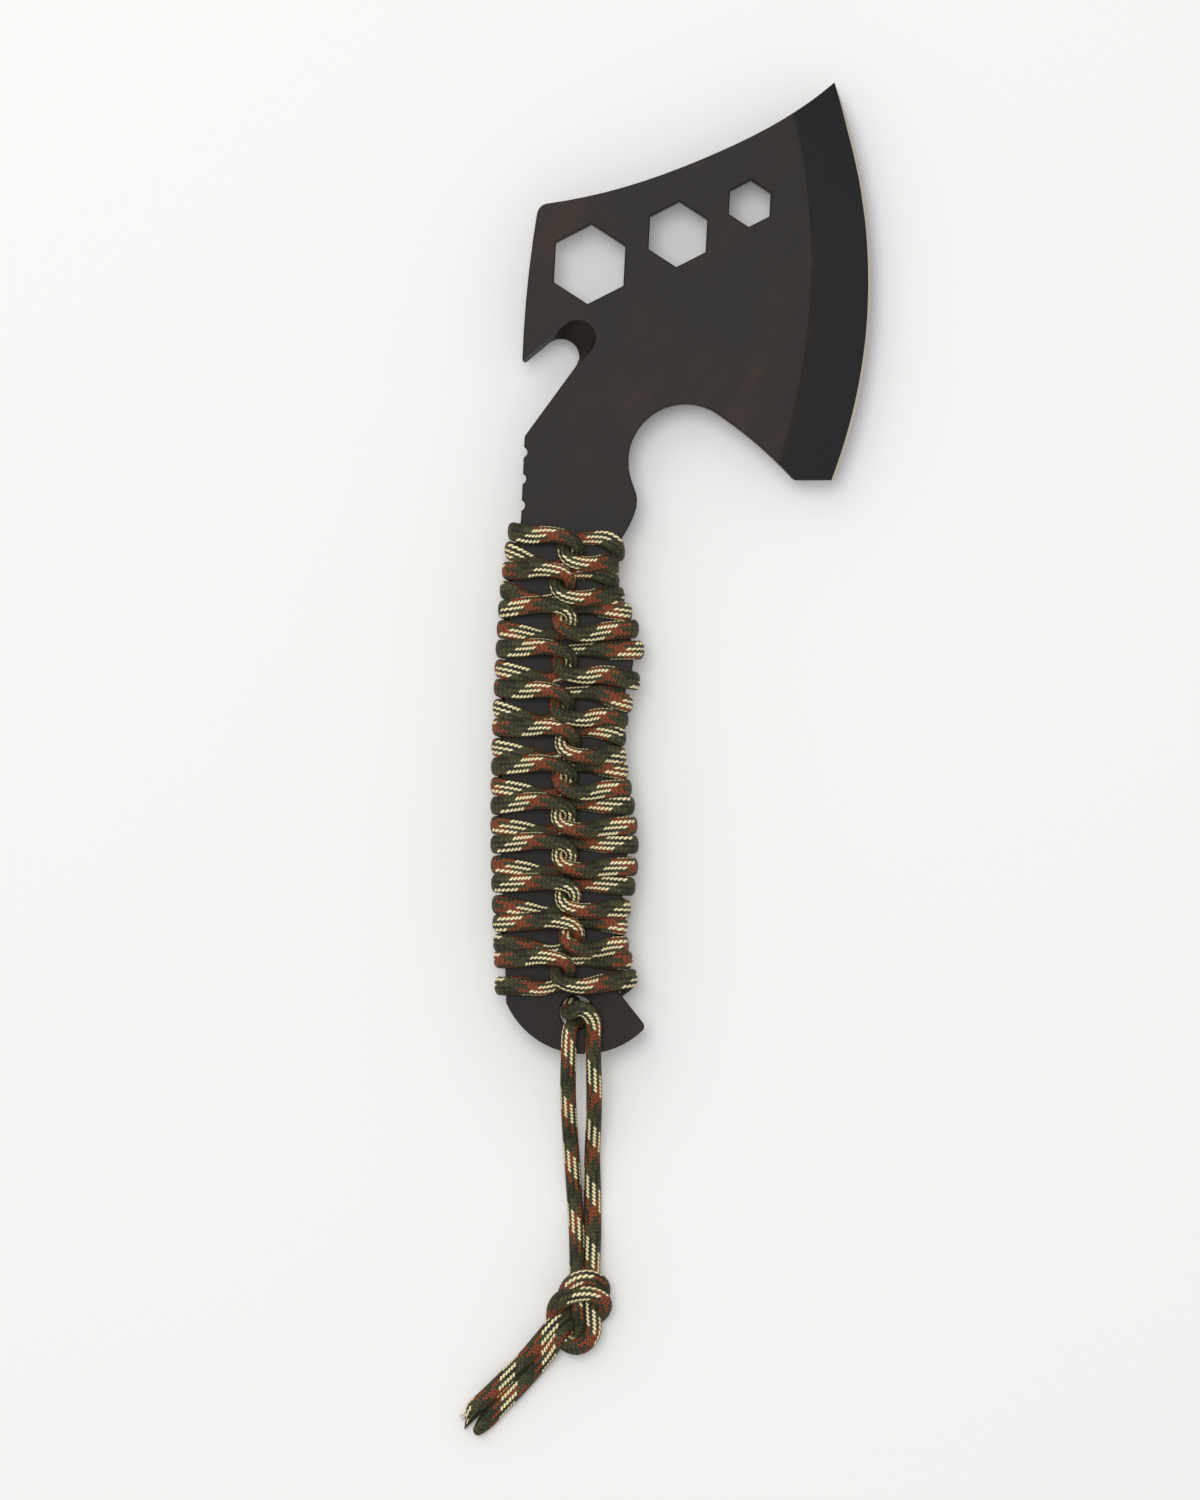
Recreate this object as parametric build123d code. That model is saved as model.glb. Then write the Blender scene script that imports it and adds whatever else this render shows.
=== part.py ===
"""Full-tang hatchet: one steel plate, and one length of 550 cord hitched round the tang as a grip,
with both ends led through the pommel's hole as a knotted lanyard.

It is drawn in a working frame, in mm: the plate lies flat with its middle at Z 0, Y 0 is the neck where
the grip starts, +Y runs up to the head and X 0 is the tang's middle. Before it is written, everything is
moved so that the origin is at the middle of the underside of the plate and grip together.
"""

from build123d import *
from build123d.topology import SkipClean
import os
from math import cos, pi, radians, sin, sqrt, tan

os.makedirs("parts", exist_ok=True)

# ---- the plate ------------------------------------------------------------------------------------
PLATE_T = 5.0  # flat bar stock
EDGE_BREAK = 0.25  # chamfer round the plate's faces
HEAD_HEIGHT = 112.2  # neck to the tip of the toe
HANDLE_LENGTH = 125.7  # neck to the foot of the pommel
EDGE_X = 66.5  # toe and heel, from the tang's middle
EDGE_CHORD = 97.5  # toe to heel in a straight line
EDGE_BOW = 9.0  # how far the cutting edge bulges past that line
BEVEL_IN_TOE, BEVEL_IN_MIDDLE, BEVEL_IN_HEEL = 12.2, 14.9, 15.4  # width of the grind
EDGE_T = 0.8  # thickness where the coated grind ends
STRIP_W = 0.9  # bright sharpened strip outside the grind
TIP_T = 0.16  # thickness left at the very edge
HEEL_FLAT = 10.0  # level foot of the beard

POLL_X, POLL_LEAN, POLL_BULGE = -6.0, 4.0, 0.7  # back of the head: top corner, drift, bulge
POLL_CORNER_R = 3.0
TOP_CORNER_Y = 82.0

FINGER_R = 14.0  # hollow under the beard
FINGER_X, FINGER_Y = 30.0, 19.3
NECK_BUMP = (18.1, 9.6)  # guard bump in front of the first finger

NOTCH_R = 4.45  # hooked opener notch
NOTCH_X, NOTCH_Y = -0.6, 44.9
HOOK_ANGLE, NOTCH_ANGLE = 40.0, 53.8  # the hook's inner side and the notch's outer side
CUTTER_LEAN = (4.2, 4.5)  # how far the leaning cutter moves across the plate's thickness
CUTTER_RUN, HOOK_RUN = 3.9, 16.0  # how far it runs out on the notch's side and on the hook's side
HOOK_TIP_R = 0.7

SPINE_X, SPINE_LEAN = -9.4, 0.9  # thumb rest behind the neck, and its drift down to the grip
SPINE_TOP_Y, GRIP_START_Y = 25.4, 4.9
THUMB_NOTCHES, THUMB_PITCH, THUMB_TOP_Y = 3, 6.5, 21.5
THUMB_R, THUMB_DEPTH = 1.45, 0.85

# Hexagon wrench openings: across flats, and where they sit.
HEX_SIZES = (17.0, 14.0, 10.0)
HEX_PLACES = ((6.5, 67.5), (28.1, 74.8), (45.7, 82.3))
HEX_TURN = -3.0  # all three are turned a little, to follow the head

# Tang edges under the grip: (X, distance below the neck). The last two pairs are measured up from the foot.
BACK_EDGE = [(-12.3, 8.0), (-13.8, 27.0), (-15.0, 60.0), (-15.0, 78.0)]
BACK_EDGE_FOOT = [(-14.3, 25.5), (-13.9, 12.5)]
FRONT_EDGE = [(10.8, 8.2), (13.9, 17.1), (17.2, 29.5), (14.8, 38.4), (12.6, 49.5), (14.1, 61.0), (15.8, 76.0)]
FRONT_EDGE_FOOT = [(14.0, 36.0), (13.2, 27.4), (15.0, 15.2)]
POMMEL_TIP = (20.3, 6.6)
POMMEL_TIP_R = 1.4
LANYARD_HOLE_R = 4.15
LANYARD_HOLE = (3.3, 10.2)

# ---- the cord -------------------------------------------------------------------------------------
CORD_D = 3.8  # 550 cord lying free
GRIP_CORD_D = 3.0  # the same cord drawn down hard on the tang
CORE_D = 2.2  # bundle of core yarns inside the sheath
CORE_SHOWS, CORE_DEPTH = 0.9, 4.0
FACE_GAP = 0.2  # the drawn cord stands this far off the plate's faces
SIDE_GAP = 0.35  # and this far off its edges
SIDE_BEND_R = 2.2  # bend over the plate's edges
FIRST_HITCH_Y = -0.2
BARE_FOOT = 10.5  # length of tang left bare at the pommel
CLASP_HALF = 0.8 * GRIP_CORD_D  # half the spacing of a bight's two legs where it is clasped
CLASP_GAP = 0.3  # clear space between the two bights of a clasp
CLASP_LEVEL = 1.4 * GRIP_CORD_D  # the upper leg stays level this far back from its clasp's middle
# One row for each hitch on the front: the clasp's X, how much lower its front-edge legs sit, and half
# the spread of its legs at the back edge and at the front edge.
HITCHES = [
    (1.9, 3.4, 2.3, 2.0),
    (0.0, 2.2, 2.4, 1.8),
    (0.4, 0.3, 2.4, 2.0),
    (0.4, 1.7, 2.4, 3.8),
    (-0.3, 3.4, 2.5, 2.0),
    (1.2, 2.4, 2.5, 2.3),
    (0.4, 0.8, 2.4, 2.2),
    (0.2, 0.0, 2.4, 2.4),
    (0.4, 0.2, 2.5, 2.7),
    (1.2, 0.9, 2.6, 2.7),
    (2.1, 0.5, 2.4, 2.4),
    (0.0, -0.8, 3.3, 2.2),
]

HITCH_PITCH = (HANDLE_LENGTH - BARE_FOOT) / len(HITCHES)
FACE = PLATE_T / 2
LOW = FACE + FACE_GAP + GRIP_CORD_D / 2  # height of a cord lying on the plate
CLASP_WIDTH = GRIP_CORD_D + CLASP_GAP
CLASP_REACH = CLASP_WIDTH / 2  # how far each bight reaches past the middle of its clasp
# Each bight slopes between the other's legs, so this rise clears them all round.
CLASP_RISE = 2 * CLASP_HALF * CLASP_WIDTH / sqrt((2 * CLASP_HALF) ** 2 - CLASP_WIDTH**2)
HIGH = LOW + CLASP_RISE

HOLE_X, HOLE_Y = LANYARD_HOLE[0], -HANDLE_LENGTH + LANYARD_HOLE[1]
KNOT_PLACE = (1.0, -72.8)  # overhand knot in both strands, drawn as its outer shape: its middle from the hole
KNOT_HALF = (8.2, 10.6, 5.0)
JOIN_Z = -0.5  # where the grip's cord becomes the lanyard, inside the hole
HOLE_OFFSET = 2.0  # each strand's place beside the hole's middle
UNDER_HOLE = LOW + 1.0  # the cords hang this far below the plate before they turn up through the hole


def lanyard_routes(ground):
    """Hand-placed routes of the cord's free stretches, as X and Y from the hole, and height.

    ground is the height of what the hatchet lies on; over is the height of the plate's front face."""
    lies, over = ground + CORD_D / 2 + 0.05, FACE
    left_strand = [
        (HOLE_OFFSET, 0.0, JOIN_Z),
        (HOLE_OFFSET, 0.0, over + 3.1),
        (-0.9, -8.9, over + 2.7),
        (-2.0, -17.5, over + 0.7),
        (-1.7, -26.0, -2.0),
        (-1.2, -34.0, -6.2),
        (-0.5, -43.0, lies),
        (0.2, -52.5, lies + 0.3),
        (0.3, -64.0, lies + 2.1),
    ]
    right_strand = [
        (-HOLE_OFFSET, 0.0, JOIN_Z),
        (-HOLE_OFFSET, 0.0, over + 3.7),
        (-0.6, 2.9, over + 7.9),
        (4.5, 2.3, over + 6.5),
        (5.4, -3.9, over + 3.3),
        (4.6, -11.7, over + 2.5),
        (4.3, -20.0, over + 0.1),
        (4.2, -28.0, -2.8),
        (3.8, -35.7, -6.4),
        (4.1, -44.5, lies),
        (4.4, -53.5, lies + 0.3),
        (4.2, -64.0, lies + 2.1),
    ]
    left_tail = [
        (-4.9, -75.1, lies + 2.6),
        (-10.1, -80.5, lies + 1.2),
        (-15.9, -86.7, lies + 0.2),
        (-22.2, -93.0, lies),
        (-29.0, -99.6, lies),
    ]
    right_tail = [
        (-2.4, -78.8, lies + 2.0),
        (-7.8, -84.0, lies + 1.0),
        (-13.2, -90.3, lies + 0.2),
        (-18.6, -97.0, lies),
        (-24.4, -104.4, lies),
    ]
    routes = [left_strand, right_strand, left_tail, right_tail]
    placed = [[(HOLE_X + x, HOLE_Y + y, z) for x, y, z in route] for route in routes]
    return placed[:2], placed[2:]


def polar(centre, radius, angle):
    """The point at this distance and angle, in degrees from +X, from a centre."""
    return (centre[0] + radius * cos(radians(angle)), centre[1] + radius * sin(radians(angle)))


# ---- plate ----------------------------------------------------------------------------------------
TOE = (EDGE_X, HEAD_HEIGHT)
HEEL = (EDGE_X, HEAD_HEIGHT - EDGE_CHORD)
EDGE_MIDDLE = (EDGE_X + EDGE_BOW, HEAD_HEIGHT - EDGE_CHORD / 2)
NOTCH = (NOTCH_X, NOTCH_Y)
HOOK_SIDE = polar(NOTCH, NOTCH_R, HOOK_ANGLE + 90)
NOTCH_SIDE = polar(NOTCH, NOTCH_R, NOTCH_ANGLE - 90)


def tang_edges():
    """The tang's back and front edges, each a smooth curve down to the pommel."""
    foot = -HANDLE_LENGTH
    back = [(SPINE_X - SPINE_LEAN, GRIP_START_Y)]
    back += [(x, -down) for x, down in BACK_EDGE] + [(x, foot + up) for x, up in BACK_EDGE_FOOT]
    front = [(FINGER_X - FINGER_R, FINGER_Y), NECK_BUMP, (16.4, 4.0)]
    front += [(x, -down) for x, down in FRONT_EDGE] + [(x, foot + up) for x, up in FRONT_EDGE_FOOT]
    front += [(POMMEL_TIP[0], foot + POMMEL_TIP[1])]
    return Spline(back), Spline(front, tangents=[(0, -1), (0.8, -1)])


BACK, FRONT = tang_edges()


def across(curve, y):
    """Where a tang edge stands at height y."""
    low, high = 0.0, 1.0
    for _ in range(40):
        middle = (low + high) / 2
        low, high = (middle, high) if (curve @ middle).Y > y else (low, middle)
    return (curve @ low).X


def outline():
    """The plate's outline, clockwise from the toe."""
    beard_end = (HEEL[0] - HEEL_FLAT, HEEL[1])
    hollow_end = polar((FINGER_X, FINGER_Y), FINGER_R, 51)
    hollow_start = (FINGER_X - FINGER_R, FINGER_Y)
    foot_middle = (5.9, -HANDLE_LENGTH)
    poll_top = (POLL_X, TOP_CORNER_Y)
    hook_run = (HOOK_SIDE[0] - POLL_X + POLL_LEAN) / cos(radians(HOOK_ANGLE))
    hook_tip = polar(HOOK_SIDE, -hook_run, HOOK_ANGLE)
    spine_run = (NOTCH_SIDE[0] - SPINE_X) / cos(radians(NOTCH_ANGLE))
    spine_top = polar(NOTCH_SIDE, -spine_run, NOTCH_ANGLE)
    poll_middle = (POLL_X - POLL_LEAN / 2 - POLL_BULGE, (TOP_CORNER_Y + hook_tip[1]) / 2)
    top = [TOE, (57.0, TOE[1] - 7.3), (37.4, TOP_CORNER_Y + 12.6), (13.2, TOP_CORNER_Y + 3.8), poll_top]
    lines = [
        ThreePointArc(TOE, EDGE_MIDDLE, HEEL),
        Line(HEEL, beard_end),
        ThreePointArc(beard_end, (47.6, 23.4), hollow_end),
        ThreePointArc(hollow_end, polar((FINGER_X, FINGER_Y), FINGER_R, 115), hollow_start),
        FRONT,
        ThreePointArc(FRONT @ 1, foot_middle, BACK @ 1),
        BACK,
        Line(BACK @ 0, spine_top),
        Line(spine_top, NOTCH_SIDE),
        ThreePointArc(NOTCH_SIDE, polar(NOTCH, NOTCH_R, 45), HOOK_SIDE),
        Line(HOOK_SIDE, hook_tip),
        ThreePointArc(hook_tip, poll_middle, poll_top),
        Spline(top),
    ]
    face = make_face(lines)
    corners = (
        (poll_top, POLL_CORNER_R),
        (hook_tip, HOOK_TIP_R),
        (FRONT @ 1, POMMEL_TIP_R),
        (spine_top, 1.0),
        (beard_end, 1.5),
    )
    for corner, radius in corners:
        face = fillet(face.vertices().sort_by_distance(Vector(*corner))[0], radius)
    return face


def thumb_notches():
    """Shallow scallops down the spine behind the neck."""
    cuts = Sketch()
    for i in range(THUMB_NOTCHES):
        y = THUMB_TOP_Y - i * THUMB_PITCH
        x = SPINE_X - SPINE_LEAN * (SPINE_TOP_Y - y) / (SPINE_TOP_Y - GRIP_START_Y)
        cuts += Pos(x - THUMB_R + THUMB_DEPTH, y) * Circle(THUMB_R)
    return cuts


def leaning_cut():
    """What the leaning cutter takes out of the notch: its round end, its run, and the hook's inner face."""
    hook_in, hook_out = (polar(p, -HOOK_RUN, HOOK_ANGLE) for p in (HOOK_SIDE, NOTCH))
    run_in, run_out = (polar(p, -CUTTER_RUN, NOTCH_ANGLE) for p in (NOTCH_SIDE, NOTCH))
    shape = Pos(*NOTCH) * Circle(NOTCH_R)
    shape += make_face(Polyline(HOOK_SIDE, hook_in, hook_out, NOTCH, close=True))
    shape += make_face(Polyline(NOTCH_SIDE, run_in, run_out, NOTCH, close=True))
    lean = Vector(CUTTER_LEAN[0], CUTTER_LEAN[1], PLATE_T)
    reach = 1.5  # the cutter's path, in plate thicknesses, from one quarter below the plate
    start = lean * -0.25
    shape = Pos(start.X, start.Y, start.Z - FACE) * shape
    return extrude(shape, amount=lean.length * reach, dir=lean)


def grind(outer, inner, low, high):
    """Cutter for one side of the edge: everything outside a leaning cone through two arcs.

    outer and inner are three points each; low and high are the arcs' heights above the plate's middle."""
    rings = []
    for points, z in ((outer, low), (inner, high)):
        arc = ThreePointArc(*points)
        rings.append((arc.arc_center, arc.radius, z))
    (c0, r0, z0), (c1, r1, z1) = rings
    over = (FACE + 1 - z0) / (z1 - z0)  # carries the cone on past the plate's face
    c2, r2 = c0 + (c1 - c0) * over, r0 + (r1 - r0) * over
    cone = loft([Pos(c0.X, c0.Y, z0) * Circle(r0), Pos(c2.X, c2.Y, FACE + 1) * Circle(r2)])
    block = Box(60, EDGE_CHORD * 1.4, FACE + 1 - z0)  # reaches past the bevel and both ends of the edge
    block = Pos(EDGE_X, HEAD_HEIGHT - EDGE_CHORD / 2, (z0 + FACE + 1) / 2) * block
    return block - cone


def inset(points, by):
    """Edge points moved straight back into the head."""
    return [(x - d, y) for (x, y), d in zip(points, by)]


def blade_and_tang():
    """The whole steel plate. The head's faces end at the neck, so they can serve as flat faces."""
    shape = outline() - thumb_notches()
    for size, place in zip(HEX_SIZES, HEX_PLACES):
        hexagon = RegularPolygon(size / 2, 6, major_radius=False, rotation=30)
        shape -= Pos(*place) * Rot(0, 0, HEX_TURN) * hexagon
    shape -= Pos(HOLE_X, HOLE_Y) * Circle(LANYARD_HOLE_R)
    plate = extrude(Pos(0, 0, -FACE) * shape, PLATE_T)
    faces = plate.faces().sort_by(Axis.Z)
    plate = chamfer(faces[0].edges() + faces[-1].edges(), EDGE_BREAK)
    plate -= leaning_cut()
    edge = [TOE, EDGE_MIDDLE, HEEL]
    strip = inset(edge, [STRIP_W] * 3)
    bevel = inset(edge, [BEVEL_IN_TOE, BEVEL_IN_MIDDLE, BEVEL_IN_HEEL])
    for cutter in (grind(strip, bevel, EDGE_T / 2, FACE), grind(edge, strip, TIP_T / 2, EDGE_T / 2)):
        plate -= cutter
        plate -= mirror(cutter, Plane.XY)
    neck = Pos(0, GRIP_START_Y - 250) * Box(500, 500, 3 * PLATE_T)
    head, tang = plate - neck, plate & neck
    with SkipClean():  # keeps the line across the neck, so that the head's two faces end there
        return head + tang


# ---- cord -----------------------------------------------------------------------------------------
def fitted_radii(points, limit=None):
    """Arc radius for each corner: as large as its two runs allow, or a set limit where one is given."""
    points = [Vector(*p) for p in points]
    radii = []
    for a, b, c in zip(points, points[1:], points[2:]):
        turn = (b - a).get_angle(c - b)
        radius = 0.45 * min((b - a).length, (c - b).length) / tan(radians(turn / 2))
        radii.append(min(radius, limit) if limit else radius)
    return radii


def tube(points, diameter, radii):
    """A round cord along straight runs joined by tangent arcs, and its path's length."""
    path = FilletPolyline(*points, radius=radii)
    start = Plane(origin=path @ 0, z_dir=path % 0)
    return sweep(start * Circle(diameter / 2), path=path), path.length


def leg_heights():
    """Y of every leg where it passes over the tang's edges, from the top: one list for each edge."""
    back, front = [], []
    for i, (_, drop, back_half, front_half) in enumerate(HITCHES):
        middle = FIRST_HITCH_Y - i * HITCH_PITCH
        back += [middle + back_half, middle - back_half]
        front += [middle - drop + front_half, middle - drop - front_half]
    return {-1: back, 1: front}


def side_x(side, y):
    """X of a cord's middle where it passes over the back (-1) or the front (1) edge of the tang."""
    edge = across(BACK if side < 0 else FRONT, y)
    return edge + side * (GRIP_CORD_D / 2 + SIDE_GAP)


def half_grip(side):
    """Route of one half of the cord: -1 goes round the back edge and 1 round the front edge."""
    legs = leg_heights()
    own = legs[side]
    (back_x, back_y), (front_x, front_y) = [(side_x(s, legs[s][0]), legs[s][0]) for s in (-1, 1)]
    middle_y = back_y + (front_y - back_y) * -back_x / (front_x - back_x)
    route = [(0, middle_y, -LOW), (side_x(side, own[0]), own[0], -LOW)]  # the cord's middle crosses the back
    for i in range(2 * len(HITCHES) - 1):
        face = 1 if i % 2 == 0 else -1  # clasps come by turns on the front and on the back
        clasp_x = HITCHES[i // 2][0]
        clasp_y = sum(legs[s][i + k] for s in (-1, 1) for k in (0, 1)) / 4
        reach_x = clasp_x - side * CLASP_REACH
        level_x = clasp_x + side * CLASP_LEVEL
        upper_y, lower_y = clasp_y + CLASP_HALF, clasp_y - CLASP_HALF
        route.append((side_x(side, own[i]), own[i], face * LOW))
        if side == -face:  # this cord's bight lies over its partner's at the top and under it below
            route += [(level_x, upper_y, face * HIGH), (reach_x, upper_y, face * HIGH)]
            route.append((reach_x, lower_y, face * LOW))
        else:
            route.append((reach_x, upper_y, face * LOW))
            route += [(reach_x, lower_y, face * HIGH), (level_x, lower_y, face * HIGH)]
        route.append((side_x(side, own[i + 1]), own[i + 1], face * LOW))
    hole = HOLE_X + side * HOLE_OFFSET
    route.append((side_x(side, own[-1]), own[-1], -LOW))
    route.append((hole, HOLE_Y, -UNDER_HOLE))
    route.append((hole, HOLE_Y, JOIN_Z))
    return route


def knot(ground):
    """Outer shape of the overhand knot, a lump lying on the ground."""
    place = Pos(HOLE_X + KNOT_PLACE[0], HOLE_Y + KNOT_PLACE[1], ground + KNOT_HALF[2])
    return place * scale(Sphere(1), by=KNOT_HALF)


def tail(points):
    """A cut end of the cord: the sheath with its bore, and the core yarns that show in it."""
    body, length = tube(points, CORD_D, fitted_radii(points))
    a, b = Vector(*points[-2]), Vector(*points[-1])
    along = (b - a).normalized()
    section = Plane(origin=b - along * CORE_DEPTH, z_dir=along) * Circle(CORE_D / 2)
    core = extrude(section, CORE_DEPTH + CORE_SHOWS)
    bore = extrude(section, CORE_DEPTH + 1)
    return body - bore, core, length


def main():
    pieces = {"blade_and_tang": blade_and_tang()}
    for name, side in (("grip_cord_back", -1), ("grip_cord_front", 1)):
        route = half_grip(side)
        radii = fitted_radii(route, limit=SIDE_BEND_R)
        pieces[name], length = tube(route, GRIP_CORD_D, radii)
        print(name, "length", round(length, 1), "smallest radius", round(min(radii), 2))
    held = [piece.bounding_box() for piece in pieces.values()]
    ground = min(box.min.Z for box in held)
    pieces["lanyard_knot"] = lump = knot(ground)
    strands, tails = lanyard_routes(ground)
    for side, points in zip(("left", "right"), strands):
        radii = fitted_radii(points)
        strand, length = tube(points, CORD_D, radii)
        full = pi * CORD_D**2 / 4 * length
        pieces[f"lanyard_strand_{side}"] = strand - lump
        print("strand", side, "length", round(length, 1), "volume over section times length",
              round(strand.volume / full, 4), "radii", [round(r, 1) for r in radii])
    for side, points in zip(("left", "right"), tails):
        sheath, core, length = tail(points)
        pieces[f"lanyard_tail_{side}"] = sheath - lump
        pieces[f"core_yarns_{side}"] = core
        print("tail", side, "length", round(length, 1), "radii", [round(r, 1) for r in fitted_radii(points)])
    middle_x = (min(box.min.X for box in held) + max(box.max.X for box in held)) / 2
    middle_y = (min(box.min.Y for box in held) + max(box.max.Y for box in held)) / 2
    move = Pos(-middle_x, -middle_y, -ground)
    print("moved by", move.position)
    for name, shape in pieces.items():
        export_step(move * shape.solid(), f"parts/{name}.step")


main()
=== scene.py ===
"""Camping hatchet: a black-coated steel plate with camouflage cord hitched round its tang and a knotted lanyard."""

import bpy
import numpy as np
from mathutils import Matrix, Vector
from mathutils.bvhtree import BVHTree


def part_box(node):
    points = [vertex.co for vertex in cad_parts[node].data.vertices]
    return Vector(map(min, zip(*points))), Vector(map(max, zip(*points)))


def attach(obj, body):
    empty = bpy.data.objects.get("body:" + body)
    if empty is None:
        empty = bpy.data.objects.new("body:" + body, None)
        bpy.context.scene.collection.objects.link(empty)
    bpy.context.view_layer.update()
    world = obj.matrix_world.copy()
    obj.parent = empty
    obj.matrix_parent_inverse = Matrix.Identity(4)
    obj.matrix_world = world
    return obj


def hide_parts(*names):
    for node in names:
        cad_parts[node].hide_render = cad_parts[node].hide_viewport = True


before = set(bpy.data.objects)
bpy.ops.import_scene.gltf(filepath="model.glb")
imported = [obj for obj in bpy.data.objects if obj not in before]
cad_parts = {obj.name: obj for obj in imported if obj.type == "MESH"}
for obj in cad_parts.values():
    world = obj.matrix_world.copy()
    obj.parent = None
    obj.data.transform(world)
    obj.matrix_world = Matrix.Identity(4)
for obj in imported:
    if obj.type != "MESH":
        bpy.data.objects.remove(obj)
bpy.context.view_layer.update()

MM = 0.001

# ---- sizes of the hatchet and its cord, in millimetres --------------------------------------------
PLATE_T = 5.0
EDGE_R = 136.53  # the cutting edge's arc
EDGE_CHORD = 97.5
SHARP_W = 0.75  # bright strip left by sharpening
BEVEL_W = 13.4  # the grind behind it
CORD_D = 3.8  # 550 cord lying free
CORE_D = 2.2
CARRIERS = 16  # yarns braided each way round the sheath
PICK = 0.985  # length of cord for one crossing of the braid
RELIEF = 0.14  # how far each stitch stands out
AROUND, ALONG = 3 * CARRIERS, PICK / 3  # mesh steps round the cord, and their length along it
CUT_LENGTH = 3.2  # how far back from its cut ends the sheath is pinched

plate_low, plate_high = (np.array(corner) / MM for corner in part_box("blade_and_tang"))
plate_z = (plate_low[2] + plate_high[2]) / 2
LYING = 2.2  # height of a cord on the ground


# ---- materials --------------------------------------------------------------------------------------
def linear(code):
    """An sRGB hex value as linear red, green, blue and alpha."""
    parts = [int(code[i : i + 2], 16) / 255 for i in (1, 3, 5)]
    return [p / 12.92 if p <= 0.04045 else ((p + 0.055) / 1.055) ** 2.4 for p in parts] + [1.0]


def add(tree, kind, *inputs, **named):
    """A node of that kind, with its inputs by place or name, and its own properties by name.

    Each input is a value or the output of another node: a node stands for its first output."""
    node = tree.nodes.new(kind)
    for name, value in named.items():
        if hasattr(node, name):
            setattr(node, name, value)
    named = {name.replace("_", " "): value for name, value in named.items() if not hasattr(node, name)}
    for key, value in [*enumerate(inputs), *named.items()]:
        if isinstance(value, bpy.types.Node):
            value = value.outputs[0]
        if isinstance(value, bpy.types.NodeSocket):
            tree.links.new(value, node.inputs[key])
        elif value is not None:
            node.inputs[key].default_value = value
    return node


def new_material(name, **shader_settings):
    """A material with an empty tree but for its shader, and that shader."""
    material = bpy.data.materials.new(name)
    material.use_nodes = True
    tree = material.node_tree
    tree.nodes.clear()
    shader = add(tree, "ShaderNodeBsdfPrincipled", **shader_settings)
    add(tree, "ShaderNodeOutputMaterial", Surface=shader)
    return material, tree, shader


def ramp(tree, position, *stops, interpolation="LINEAR"):
    """Colour at that position on a ramp, from pairs of a place and an sRGB hex value."""
    node = add(tree, "ShaderNodeValToRGB", position)
    node.color_ramp.interpolation = interpolation
    elements = node.color_ramp.elements
    for n, (at, colour) in enumerate(stops):
        stop = elements[n] if n < 2 else elements.new(at)
        stop.position, stop.color = at, linear(colour)
    return node


def carriers(tree, count, *dyes):
    """Colour of the yarn that a carrier count falls on. dyes is how many carriers share a colour, and the colour."""
    starts = [sum(many for many, _ in dyes[:n]) / CARRIERS for n in range(len(dyes))]
    turned = add(tree, "ShaderNodeMath", count, CARRIERS, operation="FLOORED_MODULO")
    share = add(tree, "ShaderNodeMath", turned, 1 / CARRIERS, 0.5 / CARRIERS, operation="MULTIPLY_ADD")
    stops = [(at, colour) for at, (_, colour) in zip(starts, dyes)]
    return ramp(tree, share, *stops, interpolation="CONSTANT")


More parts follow.
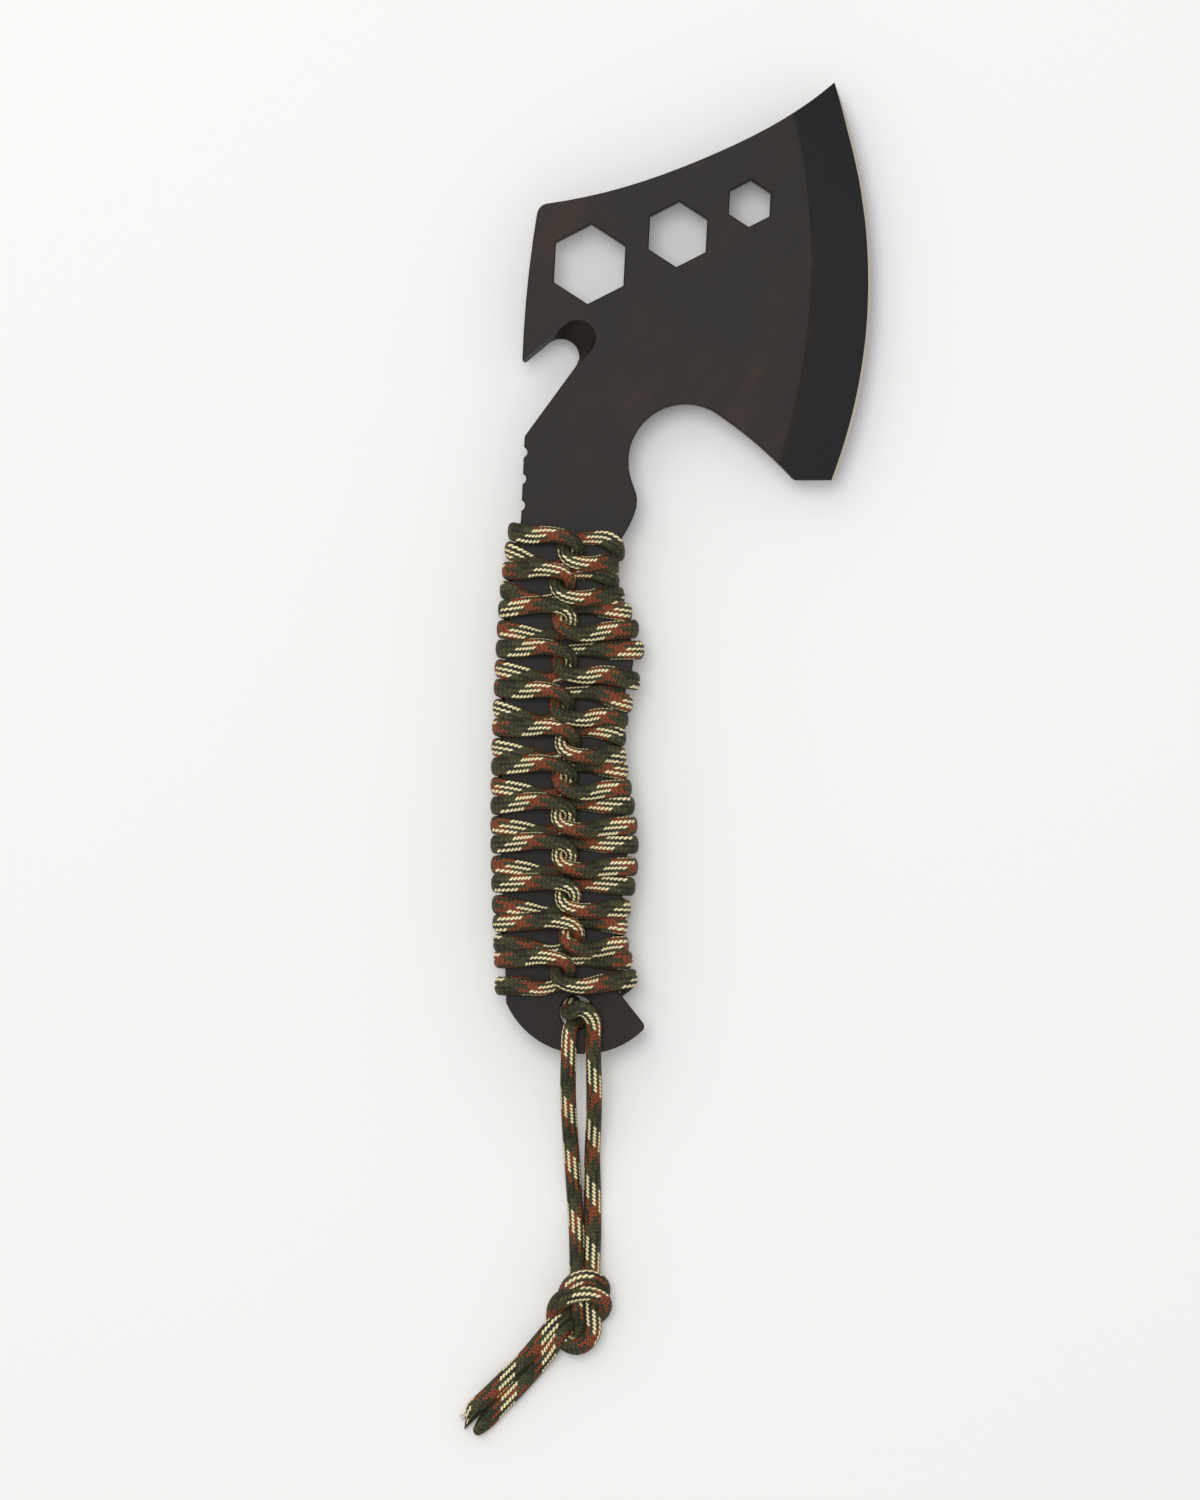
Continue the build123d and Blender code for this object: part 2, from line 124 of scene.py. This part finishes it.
def braided_nylon():
    """550 cord: a sheath of 32 dyed nylon yarns, 16 each way, each passing over two and under two.

    The braid's herringbone stitches shine a little, and their colour is painted darker toward each stitch's sides and
    ends as shade."""
    material, tree, shader = new_material("braided_nylon", Roughness=0.7, IOR=1.53, Specular_IOR_Level=0.3)
    braid = add(tree, "ShaderNodeUVMap", uv_map="braid")
    place = add(tree, "ShaderNodeSeparateXYZ", braid)
    lean = place.outputs[:2]
    carrier = [add(tree, "ShaderNodeMath", x, operation="FLOOR") for x in lean]
    apart = add(tree, "ShaderNodeMath", *carrier, operation="SUBTRACT")
    column = add(tree, "ShaderNodeMath", apart, 4.0, operation="FLOORED_MODULO")
    right_over = add(tree, "ShaderNodeMath", column, 1.5, operation="LESS_THAN")
    rising = carriers(tree, carrier[0], (4, "#974a28"), (4, "#504a2d"), (4, "#2f2f1d"), (4, "#4a4c2c"))
    falling = carriers(tree, carrier[1], (6, "#fff0bd"), (3, "#8a4522"), (4, "#383920"), (3, "#504f2f"))
    dyed = add(tree, "ShaderNodeMix", right_over, data_type="RGBA")
    for key, colour in ((6, falling), (7, rising)):
        tree.links.new(colour.outputs[0], dyed.inputs[key])
    # On the stitch that is on top, how far a point is from its middle, across and along: 1 at its sides and ends.
    within = [add(tree, "ShaderNodeMath", x, operation="FRACT") for x in lean]
    offset = [add(tree, "ShaderNodeMath", x, 2.0, -1.0, operation="MULTIPLY_ADD") for x in within]
    rise_end = add(tree, "ShaderNodeMath", add(tree, "ShaderNodeMath", within[1], column, operation="ADD"), 1.0, operation="SUBTRACT")
    fall_end = add(tree, "ShaderNodeMath", add(tree, "ShaderNodeMath", within[0], column, operation="ADD"), 3.0, operation="SUBTRACT")
    crown = None
    for falls, rises, power in ((offset[1], offset[0], 2.0), (fall_end, rise_end, 4.0)):
        far = add(tree, "ShaderNodeMix", right_over, None, falls, rises, data_type="FLOAT")
        steep = add(tree, "ShaderNodeMath", far, power, operation="POWER")
        shown = add(tree, "ShaderNodeMath", 1.0, steep, operation="SUBTRACT")
        crown = add(tree, "ShaderNodeMath", crown, shown, operation="MULTIPLY") if crown else shown
    # Fine filaments, about 0.1 mm, run along each stitch.
    filament_place = add(tree, "ShaderNodeMapping", braid, Scale=(9.0, 9.0, 1.0))
    filaments = add(tree, "ShaderNodeTexNoise", filament_place, noise_dimensions="2D", Scale=1.0, Detail=2.0)
    # Painted shade: the dye is darkened toward each stitch's sides and ends, where it dips under its neighbours; the
    # same profile also drives the bump.
    shade = add(tree, "ShaderNodeMath", crown, 0.95, 0.12, operation="MULTIPLY_ADD")
    streak = add(tree, "ShaderNodeMath", filaments, 0.5, 0.75, operation="MULTIPLY_ADD")
    shade = add(tree, "ShaderNodeMath", shade, streak, operation="MULTIPLY")
    shaded = add(tree, "ShaderNodeVectorMath", dyed.outputs[2], Scale=shade, operation="SCALE")
    bump = add(tree, "ShaderNodeBump", Height=crown, Strength=0.5, Distance=0.1 * MM)
    tree.links.new(shaded.outputs[0], shader.inputs["Base Color"])
    tree.links.new(bump.outputs[0], shader.inputs["Normal"])
    return material


def black_coated_steel():
    """Carbon steel, ground and black coated, then sharpened after coating.

    The coating is thin, so the cloudy marks of grinding show faintly, and the sharpened strip is bare."""
    material, tree, shader = new_material("black_coated_steel", IOR=1.5, Specular_IOR_Level=0.2)
    place = add(tree, "ShaderNodeTexCoord").outputs["Object"]
    clouds = add(tree, "ShaderNodeTexNoise", place, Scale=1 / (32 * MM), Detail=5.0, Roughness=0.62)
    slanted = add(tree, "ShaderNodeMapping", place, vector_type="TEXTURE", Scale=(1.0, 0.14, 1.0), Rotation=(0, 0, 0.9))
    strokes = add(tree, "ShaderNodeTexNoise", slanted, Scale=1 / (22 * MM), Detail=6.0)
    grain = add(tree, "ShaderNodeTexNoise", place, Scale=1 / (0.5 * MM), Detail=2.0)
    part = add(tree, "ShaderNodeMath", clouds, 0.7, operation="MULTIPLY")
    mottle = add(tree, "ShaderNodeMath", strokes, 0.3, part, operation="MULTIPLY_ADD")
    coating = ramp(tree, mottle, (0.36, "#110c09"), (0.5, "#1b1511"), (0.64, "#2f2219"))
    # The bevel and the sharpened strip lie between arcs about the cutting edge's centre.
    centre = ((plate_high[0] - EDGE_R) * MM, (plate_high[1] - EDGE_CHORD / 2) * MM, 0)
    flat_place = add(tree, "ShaderNodeVectorMath", place, (1, 1, 0), operation="MULTIPLY")
    radius = add(tree, "ShaderNodeVectorMath", flat_place, centre, operation="DISTANCE").outputs["Value"]
    across = add(tree, "ShaderNodeSeparateXYZ", place)
    toe = [(plate_high[1] - 12) * MM, plate_high[1] * MM, (EDGE_R - SHARP_W - 0.07) * MM, (EDGE_R - 0.2) * MM]
    fading = add(tree, "ShaderNodeMapRange", across.outputs[1], *toe)  # the strip narrows to nothing at the toe
    ragged = add(tree, "ShaderNodeMath", strokes, 0.15 * MM, fading, operation="MULTIPLY_ADD")
    head_end = add(tree, "ShaderNodeMath", across, (plate_high[0] - 30) * MM, operation="GREATER_THAN")
    ground = add(tree, "ShaderNodeMapRange", radius, (EDGE_R - BEVEL_W - 1.0) * MM, (EDGE_R - BEVEL_W + 0.6) * MM)
    bevel = add(tree, "ShaderNodeMath", ground, head_end, operation="MULTIPLY")
    past = add(tree, "ShaderNodeMath", radius, ragged, operation="GREATER_THAN")
    bare = add(tree, "ShaderNodeMath", past, head_end, operation="MULTIPLY")
    darker = add(tree, "ShaderNodeMix", bevel, data_type="RGBA")
    colour = add(tree, "ShaderNodeMix", bare, data_type="RGBA")
    darker.inputs[7].default_value, colour.inputs[7].default_value = linear("#161615"), linear("#d9d2c6")
    tree.links.new(coating.outputs[0], darker.inputs[6])
    tree.links.new(darker.outputs[2], colour.inputs[6])
    rough = add(tree, "ShaderNodeMath", mottle, 0.25, 0.36, operation="MULTIPLY_ADD")
    rough = add(tree, "ShaderNodeMix", bare, None, rough, 0.3, data_type="FLOAT")
    marks = add(tree, "ShaderNodeMath", grain, strokes, operation="ADD")
    bump = add(tree, "ShaderNodeBump", Height=marks, Strength=0.25, Distance=0.03 * MM)
    sockets = (("Base Color", colour.outputs[2]), ("Roughness", rough.outputs[0]), ("Metallic", bare.outputs[0]), ("Normal", bump.outputs[0]))
    for name, output in sockets:
        tree.links.new(output, shader.inputs[name])
    return material


def cut_yarns():
    """Undyed nylon core yarns, cut across: pale, dull and frayed."""
    material, tree, shader = new_material("cut_yarns", Roughness=0.8, IOR=1.53)
    place = add(tree, "ShaderNodeTexCoord").outputs["Object"]
    fibres = add(tree, "ShaderNodeTexNoise", place, Scale=1 / (0.5 * MM), Detail=3.0)
    colour = ramp(tree, fibres, (0.35, "#b9a68c"), (0.65, "#f2eadb"))
    bump = add(tree, "ShaderNodeBump", Height=fibres, Strength=0.6, Distance=0.2 * MM)
    tree.links.new(colour.outputs[0], shader.inputs["Base Color"])
    tree.links.new(bump.outputs[0], shader.inputs["Normal"])
    return material


# ---- cord -------------------------------------------------------------------------------------------
def spline_line(points):
    """Points along the smooth line that the cord's route gives, in millimetres."""
    curve = bpy.data.curves.new("route", "CURVE")
    curve.dimensions = "3D"
    curve.resolution_u = 24
    spline = curve.splines.new("NURBS")
    spline.points.add(len(points) - 1)
    for knot, (x, y, z) in zip(spline.points, points):
        knot.co = (x * MM, y * MM, z * MM, 1)
    spline.order_u = 3
    spline.use_endpoint_u = True
    holder = bpy.data.objects.new("route", curve)
    mesh = bpy.data.meshes.new_from_object(holder)
    line = np.array([v.co for v in mesh.vertices]) / MM
    bpy.data.objects.remove(holder)
    bpy.data.curves.remove(curve)
    bpy.data.meshes.remove(mesh)
    return line


def evenly(line, step, *others):
    """The line, and other values given at its points, at equal steps along it."""
    travelled = np.concatenate([[0], np.cumsum(np.linalg.norm(np.diff(line, axis=0), axis=1))])
    count = int(travelled[-1] / step)
    at = np.linspace(0, travelled[-1], count + 1)
    spread = lambda values: np.stack([np.interp(at, travelled, column) for column in values.T], axis=1)
    return spread(line), *(spread(v) for v in others)


def unit(vectors):
    return vectors / np.linalg.norm(vectors, axis=1, keepdims=True)


def round_section(size):
    """Where the braid's columns stand round each ring of a cord pressed to that width and height."""
    angle = 2 * np.pi * np.arange(AROUND) / AROUND
    pressed = ((size[:, 0] - size[:, 1]) / size.sum(axis=1))[:, None]
    angle = angle + 0.7 * pressed * np.sin(2 * angle)  # the columns crowd together on the flat side
    c, s = np.cos(angle), np.sin(angle)
    square = (np.abs(c) ** 2.35 + np.abs(s) ** 2.35) ** (-1 / 2.35)
    square = 1 + (square - 1) * np.minimum(4 * pressed, 1)  # a pressed cord is a little squarer than an ellipse
    return c * square, s * square


def braided_tube(name, centres, up, size, turn=0, first_ring=0, cut=None):
    """A stretch of braided sheath: centres down its middle, its flat side's direction, and its width and height.

    turn shifts the braid round the cord, in mesh steps, and first_ring along it. cut is how far the end is drawn
    out by a slanting cut, and the side that it is drawn out on, as an angle round the cord."""
    along = unit(np.gradient(centres, axis=0))
    across = unit(np.cross(along, up))
    up = np.cross(across, along)
    rings, columns = np.meshgrid(np.arange(len(centres)) + first_ring, np.arange(AROUND) + turn, indexing="ij")
    # Where each point lies in the braid, counted in carriers leaning each way.
    rise, fall = (rings + columns) / 3 + 1 / 6, (rings - columns) / 3 + 1 / 6
    i, j = np.floor(rise), np.floor(fall)
    rising = (i - j) % 4 < 1.5
    side = np.where(rising, rise - i, fall - j) - 0.5
    end = np.where(rising, fall - j + (i - j) % 4 - 1, rise - i + (i - j) % 4 - 3)
    relief = RELIEF * ((1 - (2 * side) ** 2) * (1 - end**4) - 0.5)
    x, y = round_section(size)
    x, y = x * (size[:, :1] / 2 + relief), y * (size[:, 1:] / 2 + relief)
    drawn = np.zeros_like(x)
    if cut:
        length, at = cut
        near = np.clip((np.arange(len(centres)) - len(centres) + 1) * ALONG / CUT_LENGTH + 1, 0, 1)[:, None] ** 2
        facing = (1 + np.cos(2 * np.pi * np.arange(AROUND) / AROUND - at)) / 2
        drawn = near * length * facing**1.5
        shift = near * 0.25 * size[:, :1]
        x, y = x * (1 - 0.35 * near) + shift * np.cos(at), y * (1 - 0.35 * near) + shift * np.sin(at)
    points = centres[:, None] + x[..., None] * across[:, None] + y[..., None] * up[:, None] + drawn[..., None] * along[:, None]
    if cut:  # the sheath's thickness, and its inside
        middle = points[-1].mean(axis=0)
        inner = [middle + (points[-1] - middle) * 0.72, middle + (points[-1] - middle) * 0.66 - along[-1] * 3.0]
        points = np.concatenate([points, inner])
    total = len(points)
    ring, column = (g.ravel() for g in np.meshgrid(np.arange(total - 1), np.arange(AROUND), indexing="ij"))
    after = (column + 1) % AROUND
    faces = np.stack([ring * AROUND + column, ring * AROUND + after, (ring + 1) * AROUND + after, (ring + 1) * AROUND + column], axis=1)
    mesh = bpy.data.meshes.new(name)
    mesh.from_pydata((points.reshape(-1, 3) * MM).tolist(), [], faces.tolist())
    corner_ring = ring[:, None] + first_ring + np.array([0, 0, 1, 1])
    corner_column = column[:, None] + np.array([0, 1, 1, 0]) + turn
    braid = np.stack([(corner_ring + corner_column) / 3 + 1 / 6, (corner_ring - corner_column) / 3 + 1 / 6], axis=-1)
    mesh.uv_layers.new(name="braid").data.foreach_set("uv", braid.astype(np.float32).ravel())
    mesh.polygons.foreach_set("use_smooth", [True] * len(faces))
    mesh.materials.append(NYLON)
    return placed(name, mesh)


def placed(name, mesh):
    """The mesh as a piece of the hatchet, riding on its only body."""
    piece = bpy.data.objects.new(name, mesh)
    bpy.context.scene.collection.objects.link(piece)
    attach(piece, "root")
    return piece


def yarn_tuft(name, end, along, up, reach):
    """The cord's seven core yarns at a cut: one in the middle and six round it, splayed and cut unevenly."""
    across = np.cross(along, up)
    steps, turns = np.linspace(0, 1, 9), np.arange(8) * np.pi / 4
    points, faces = [], []
    for n in range(7):
        side = 0 if n == 0 else 0.72
        angle = n * np.pi / 3
        tip = reach * (0.55 + 0.45 * np.cos(2.4 * n))
        for t in steps:
            out = side * (1 + 0.35 * t**3)
            turn = angle + 0.5 * t
            middle = end + along * (tip * t - 3.0 * (1 - t)) + across * out * np.cos(turn) + up * out * np.sin(turn)
            thick = 0.36 * (1 - 0.8 * t**6)
            points += [middle + thick * (np.cos(a) * across + np.sin(a) * up) for a in turns]
        base = n * len(steps) * 8
        for ring in range(len(steps) - 1):
            for k in range(8):
                a, b = base + ring * 8 + k, base + ring * 8 + (k + 1) % 8
                faces.append((a, b, b + 8, a + 8))
        faces.append([base + (len(steps) - 1) * 8 + k for k in range(8)])
    mesh = bpy.data.meshes.new(name)
    mesh.from_pydata((np.array(points) * MM).tolist(), [], faces)
    mesh.polygons.foreach_set("use_smooth", [True] * len(faces))
    mesh.materials.append(YARNS)
    return placed(name, mesh)


# ---- wrap -------------------------------------------------------------------------------------------
HITCH_PITCH = 9.6
FIRST_HITCH_Y = -0.2
CLASP_REACH = 1.65  # how far each bight reaches past the middle of its clasp
CLASP_TURN = 2.4  # half the height of its turn
CLASP_LEVEL = 4.8  # its legs spread this far back from that middle, the one on top less than the one beneath
SPREAD_OVER, SPREAD_UNDER = 3.9, {-1: 4.5, 1: 3.1}
GAP_OUT, GAP_SPREAD = 9.6, {-1: 3.4, 1: 2.8}  # and start to spread this far out, by this much
GAP_RISE = 0.9
HITCHES = [  # clasp's X, drop of the front-edge legs, half spreads at the back edge and the front edge
    (1.9, 4.7, 2.3, 2.0),
    (0.0, 2.2, 2.4, 1.8),
    (0.4, 0.3, 2.4, 2.0),
    (0.4, 1.7, 2.4, 3.8),
    (-0.3, 3.4, 2.5, 2.0),
    (1.2, 2.4, 2.5, 2.3),
    (0.4, 0.8, 2.4, 2.2),
    (0.2, 0.0, 2.4, 2.4),
    (0.4, 0.2, 2.5, 2.7),
    (1.2, 0.9, 2.6, 2.7),
    (2.1, 0.5, 2.4, 2.4),
    (0.0, -0.8, 3.3, 2.2),
]
# The neck's place: the tang's middle line is X = neck_x, and Y is measured from the foot of the head.
neck_x, neck_y = plate_high[0] - 75.5, plate_high[1] - 112.2
THROUGH_HOLE = {-1: (2.5, -113.3), 1: (4.2, -117.6)}  # where each half comes up through the pommel's hole

EDGE_OUT = 1.4  # the pressed cord's middle stands this far off the tang's edges
LOW, HIGH = 4.0, 8.1  # heights over the plate's middle: on the plate, and over another cord
# The cord's width and height on a straight run, where it lies over another, where it turns, and under another.
PRESSED, LAID_OVER, TURNING, TUCKED = (4.5, 2.7), (3.8, 3.0), (3.2, 3.4), (3.3, 2.8)

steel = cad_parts["blade_and_tang"]
steel_tree = BVHTree.FromPolygons([v.co for v in steel.data.vertices], [tuple(p.vertices) for p in steel.data.polygons])


def tang_edge(side, y):
    """X of the tang's back edge (-1) or front edge (1) at that Y, both from the neck."""
    start = Vector(((neck_x + side * 60) * MM, (neck_y + y) * MM, plate_z * MM))
    hit = steel_tree.ray_cast(start, Vector((-side, 0, 0)))[0]
    return hit.x / MM - neck_x


def leg_heights():
    back, front = [], []
    for i, (_, drop, back_half, front_half) in enumerate(HITCHES):
        middle = FIRST_HITCH_Y - i * HITCH_PITCH
        back += [middle + back_half, middle - back_half]
        front += [middle - drop + front_half, middle - drop - front_half]
    return {-1: back, 1: front}


def half_wrap(side):
    """Route of one half of the cord round the tang, with its section at each point."""
    legs = leg_heights()
    own = legs[side]
    edge = lambda y: tang_edge(side, y) + side * EDGE_OUT
    route = [((0, (legs[-1][0] + legs[1][0]) / 2, -LOW), PRESSED), ((edge(own[0]), own[0], -LOW), PRESSED)]
    for i in range(2 * len(HITCHES) - 1):
        face = 1 if i % 2 == 0 else -1
        clasp_x = HITCHES[i // 2][0]
        clasp_y = sum(legs[s][i + k] for s in (-1, 1) for k in (0, 1)) / 4
        reach_x, level_x = clasp_x - side * CLASP_REACH, clasp_x + side * CLASP_LEVEL
        over = 1 if side == -face else -1  # 1 where this bight's upper leg is the one on top
        gap_x = clasp_x + side * GAP_OUT
        bight = [
            ((gap_x, clasp_y + over * GAP_SPREAD[side], face * (LOW + GAP_RISE)), PRESSED),
            ((level_x, clasp_y + over * SPREAD_OVER, face * HIGH), LAID_OVER),
            ((reach_x, clasp_y + over * CLASP_TURN, face * HIGH), TURNING),
            ((reach_x, clasp_y - over * CLASP_TURN, face * LOW), TURNING),
            ((level_x, clasp_y - over * SPREAD_UNDER[side], face * LOW), TUCKED),
            ((gap_x, clasp_y - over * GAP_SPREAD[side], face * LOW), PRESSED),
        ]
        route.append(((edge(own[i]), own[i], face * LOW), PRESSED))
        route += bight[::over]
        route.append(((edge(own[i + 1]), own[i + 1], face * LOW), PRESSED))
    route.append(((edge(own[-1]), own[-1], -LOW), PRESSED))
    route += [((*THROUGH_HOLE[side], -LOW - 1.2), (3.6, 3.2)), ((*THROUGH_HOLE[side], -0.5), (3.7, 3.7))]
    return route


def section_along(sizes, count):
    """Sections given at the route's points, at count places along its spline."""
    n = len(sizes)
    at = np.concatenate([[0], np.arange(1, n - 1) - 0.5, [n - 2]])
    where = np.linspace(0, n - 2, count)
    return np.stack([np.interp(where, at, column) for column in np.array(sizes).T], axis=1)


def off_plate(line):
    """Direction from the tang's section to each point: square to its faces, turning round its edges."""
    out = np.zeros_like(line)
    for n, (x, y, z) in enumerate(line):
        low_x, high_x = tang_edge(-1, y), tang_edge(1, y)
        near_x = min(max(x, low_x + 1.5), high_x - 1.5)
        near_z = min(max(z, 1.0 - PLATE_T / 2), PLATE_T / 2 - 1.0)
        out[n] = (x - near_x, 0, z - near_z)
    return unit(out)


NYLON = braided_nylon()
steel.data.materials.clear()
steel.data.materials.append(black_coated_steel())
YARNS = cut_yarns()

HALVES = {-1: ("grip_cord_back", 5, 0), 1: ("grip_cord_front", 29, 20)}
STRETCHES = 6  # each half of the wrap is made as this many pieces, end to end
for side, (node, turn, first) in HALVES.items():
    route = half_wrap(side)
    line = spline_line([point for point, _ in route])
    size = section_along([section for _, section in route], len(line))
    centres, size = evenly(line, ALONG, size)
    thin = np.arange(0, len(centres), 6)
    up = np.stack([np.interp(np.arange(len(centres)), thin, c) for c in off_plate(centres[thin]).T], axis=1)
    whole = centres + (neck_x, neck_y, plate_z)
    cuts = np.linspace(0, len(whole) - 1, STRETCHES + 1).astype(int)
    for n, (a, b) in enumerate(zip(cuts, cuts[1:])):
        piece = braided_tube(f"wrap_{node[10:]}_{n + 1}", whole[a : b + 1], up[a : b + 1], size[a : b + 1], turn, first + a)
        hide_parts(node)

# ---- lanyard ----------------------------------------------------------------------------------------
# Heights in the first part of each route are over the plate's middle; the rest are over the ground.
left_route = [
    (*THROUGH_HOLE[1], plate_z - 0.5), (2.6, -117.4, plate_z + 3.6), (1.5, -120.4, plate_z + 5.3), (1.4, -126.0, plate_z + 4.8),
    (1.2, -134.0, plate_z + 3.0),
    (1.5, -141.5, plate_z - 2.0), (2.0, -149.5, plate_z - 6.2), (2.6, -158.5, LYING), (3.3, -168.0, LYING + 0.3),
    # into the knot beneath both turns, round the bottom of its loop, up its left side, and over as the upper turn
    (3.5, -177.0, 4.4), (3.5, -183.5, 5.4), (3.8, -189.6, 5.2), (4.3, -193.6, 3.6), (3.6, -196.4, 2.4), (1.4, -195.8, 2.4),
    (0.2, -192.6, 2.6), (0.4, -187.6, 3.4), (1.0, -183.4, 7.0), (3.6, -180.9, 8.8), (7.0, -180.6, 8.8), (9.8, -182.8, 6.8),
    (9.2, -186.2, 2.7), (5.4, -188.2, 2.3), (1.6, -189.8, 2.6), (-2.0, -192.2, 5.2),
    (-6.2, -197.5, LYING + 2.4), (-10.2, -202.2, LYING + 1.0), (-14.3, -206.2, LYING + 0.2), (-19.3, -211.2, LYING),
    (-23.9, -215.2, LYING),
]
right_route = [
    (*THROUGH_HOLE[-1], plate_z - 0.5), (1.6, -114.0, plate_z + 4.4), (1.0, -115.6, plate_z + 8.4), (4.6, -113.6, plate_z + 9.4),
    (7.5, -116.8, plate_z + 7.2), (7.3, -122.0, plate_z + 5.5), (7.5, -129.0, plate_z + 4.6), (7.7, -135.5, plate_z + 2.4),
    (7.5, -143.5, plate_z - 2.8),
    (7.1, -151.2, plate_z - 6.4), (7.2, -160.0, LYING), (7.3, -169.0, LYING + 0.3),
    (7.0, -177.0, 4.4), (6.9, -184.0, 5.4), (7.2, -190.2, 5.4), (7.5, -195.0, 5.4), (4.4, -198.2, 5.4), (0.8, -197.6, 3.8),
    (-1.6, -193.9, 2.4), (-2.4, -189.9, 3.4), (-1.0, -186.2, 7.4), (3.0, -184.6, 8.6), (7.4, -184.4, 8.6), (10.4, -187.0, 5.8),
    (9.0, -190.6, 2.4), (4.6, -191.4, 2.3), (1.0, -192.6, 3.2), (-1.2, -195.2, 5.2),
    (-3.4, -199.2, LYING + 1.8), (-6.4, -203.0, LYING + 0.6), (-9.7, -206.8, LYING), (-15.0, -212.4, LYING), (-20.5, -218.2, LYING),
]


def drifting_up(centres):
    """A direction square to the cord at each point, carried along it without twisting."""
    along = unit(np.gradient(centres, axis=0))
    up = np.zeros_like(centres)
    current = np.array([0.0, 1.0, 0.0]) if abs(along[0][2]) > 0.7 else np.array([0.0, 0.0, 1.0])
    for n, direction in enumerate(along):
        current = current - direction * (current @ direction)
        current /= np.linalg.norm(current)
        up[n] = current
    return up


FREE, KNOTTED = (CORD_D, CORD_D), (4.2, 4.2)  # the sheath swells a little where it is bent hard, and below that
FREE_POINTS = 10  # route points above the knot
for name, route, turn, first, cut in (
    ("left", left_route, 9, 0, (2.6, 2.4)),
    ("right", right_route, 20, 24, (1.8, 3.9)),
):
    moved = [(neck_x + x, neck_y + y, z) for x, y, z in route]
    line = spline_line(moved)
    sizes = [FREE] * FREE_POINTS + [KNOTTED] * (len(moved) - FREE_POINTS)
    centres, size = evenly(line, ALONG, section_along(sizes, len(line)))
    up = drifting_up(centres)
    strand = braided_tube(f"lanyard_{name}", centres, up, size, turn, first, cut)
    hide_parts(f"lanyard_strand_{name}", f"lanyard_tail_{name}", "lanyard_knot")
    end, along = centres[-1], unit(np.gradient(centres, axis=0))[-1]
    tuft = yarn_tuft(f"yarn_tuft_{name}", end, along, up[-1], 1.6)
    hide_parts(f"core_yarns_{name}")

# ---- studio -----------------------------------------------------------------------------------------
def stage_floor():
    """Pale sheet that the hatchet lies on."""
    mesh = bpy.data.meshes.new("floor")
    mesh.from_pydata([(-2, -2, 0), (2, -2, 0), (2, 2, 0), (-2, 2, 0)], [], [(0, 1, 2, 3)])
    material, tree, shader = new_material("pale_paper", Base_Color=linear("#f4f3f1"), Roughness=0.9)
    mesh.materials.append(material)
    floor = bpy.data.objects.new("floor", mesh)
    bpy.context.scene.collection.objects.link(floor)


def soft_light(name, place, aim, size, power):
    lamp = bpy.data.lights.new(name, "AREA")
    lamp.shape, lamp.size, lamp.energy = "DISK", size, power
    holder = bpy.data.objects.new(name, lamp)
    holder.location = place
    holder.rotation_euler = (Vector(aim) - Vector(place)).to_track_quat("-Z", "Y").to_euler()
    bpy.context.scene.collection.objects.link(holder)


stage_floor()
centre = Vector((-0.0195, -0.0446, plate_high[2] * MM))
soft_light("overhead", (-0.2, 0.25, 1.8), centre, 0.9, 13.5)
soft_light("key", (-0.6, 0.8, 1.3), centre, 1.0, 2.5)

world = bpy.data.worlds.new("studio")
world.use_nodes = True
sky = world.node_tree.nodes["Background"]
sky.inputs["Color"].default_value = linear("#ffffff")
sky.inputs["Strength"].default_value = 0.58
bpy.context.scene.world = world

VIEW_HEIGHT = 1500 / 4.09 * MM
camera = bpy.data.cameras.new("camera")
camera.sensor_fit, camera.sensor_height = "VERTICAL", 24
distance = 1.5
camera.lens = 24 * distance / VIEW_HEIGHT
eye = bpy.data.objects.new("camera", camera)
eye.location = centre + Vector((0, 0, distance))
bpy.context.scene.collection.objects.link(eye)
bpy.context.scene.camera = eye
bpy.context.scene.view_settings.view_transform = "Standard"
